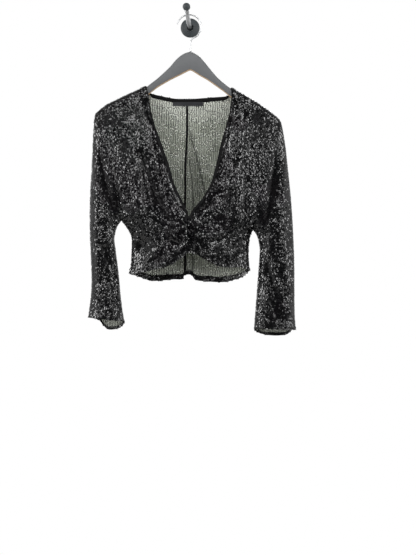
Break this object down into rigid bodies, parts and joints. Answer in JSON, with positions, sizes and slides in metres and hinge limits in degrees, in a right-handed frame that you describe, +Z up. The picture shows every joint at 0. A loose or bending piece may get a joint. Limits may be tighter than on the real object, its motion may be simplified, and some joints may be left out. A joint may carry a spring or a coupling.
{
  "type": "blouse on hanger with wall hook",
  "caption": "Cropped sequin blouse with deep V neck, centre-front knot and long sleeves, on a hanger that hangs from a wall hook.",
  "frame": {"origin": "centre of the wall plate's back face, on the wall", "axes": "+Y into the wall, +Z up, +X to the right as the blouse is seen from the room"},
  "size_m": [0.4879, 0.1058, 0.7758],
  "materials": {
    "sequin_cloth": "black sequins on mesh, glittering outside and grey-green inside",
    "binding": "plain black mesh, folded double",
    "label_satin": "black woven satin, blank",
    "hanger_paint": "wood painted grey on the faces, bare below",
    "hook_wire": "chromed steel wire",
    "peg_metal": "satin",
    "plate_coat": "dark grey powder coat"
  },
  "bodies": {
    "root": {"front_left": "sequin_cloth", "front_right": "sequin_cloth", "back_left": "sequin_cloth", "back_right": "sequin_cloth", "sleeve_left": "sequin_cloth", "sleeve_right": "sequin_cloth", "knot": "sequin_cloth", "neck_band_left": "binding", "neck_band_right": "binding", "back_neck_band": "binding", "label": "label_satin", "hanger": "hanger_paint", "hanger_hook": "hook_wire", "wall_plate": "plate_coat", "peg": "peg_metal", "peg_ball": "plate_coat"}
  },
  "joints": []
}
